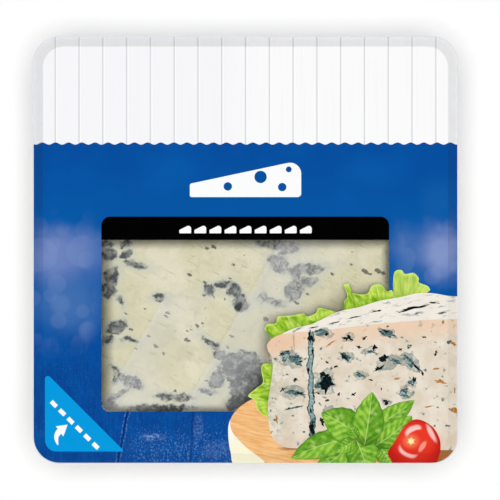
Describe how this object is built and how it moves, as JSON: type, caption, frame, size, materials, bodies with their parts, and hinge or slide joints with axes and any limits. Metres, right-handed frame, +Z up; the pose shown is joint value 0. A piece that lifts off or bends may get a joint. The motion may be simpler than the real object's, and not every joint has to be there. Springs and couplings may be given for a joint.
{
  "type": "packed cheese wedge",
  "caption": "Sealed square tray with a printed peel-off lid film and a clear window over the level cut face of a blue-veined cheese wedge.",
  "frame": {"origin": "on the resting plane, under the middle of the pack", "axes": "+Z up out of the lid film, +Y towards the top edge of the lid's print, +X to its right"},
  "size_m": [0.13, 0.1306, 0.0353],
  "materials": {
    "tray_plastic": "clear, glossy thermoformed sheet",
    "lid_print": "printed flexible film with a satin gloss and a clear window",
    "cheese": "moist crumbly ivory paste with grey-blue veins, pale rind"
  },
  "bodies": {
    "root": {"tray": "tray_plastic", "lid_film": "lid_print", "cheese_wedge": "cheese"}
  },
  "joints": []
}
